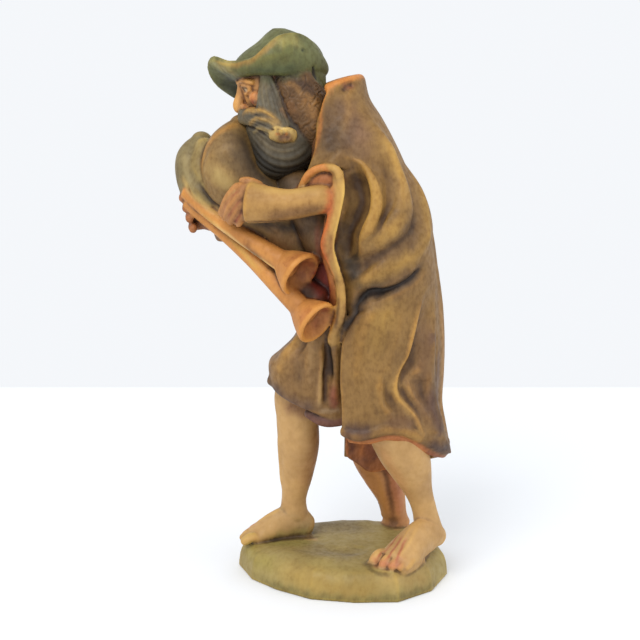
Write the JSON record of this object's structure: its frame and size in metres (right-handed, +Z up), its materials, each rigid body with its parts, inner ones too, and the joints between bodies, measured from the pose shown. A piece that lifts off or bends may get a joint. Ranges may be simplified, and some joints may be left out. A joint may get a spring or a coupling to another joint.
{
  "type": "presepe bagpiper figure",
  "caption": "Carved and painted wooden nativity figure of a bent, barefoot, bearded bagpiper in a long cape and felt hat, walking on a small knife-cut base.",
  "frame": {"origin": "centre of the flat underside of the base", "axes": "+Z up through the figure, -X the way the figure walks, -Y its left side"},
  "size_m": [0.06, 0.0376, 0.1197],
  "materials": {
    "painted_wood": "thin coloured oil stains on carved wood, washed dark in the cuts and worn to ochre on the ridges, satin wax sheen"
  },
  "bodies": {
    "root": {"figure": "painted_wood"}
  },
  "joints": []
}
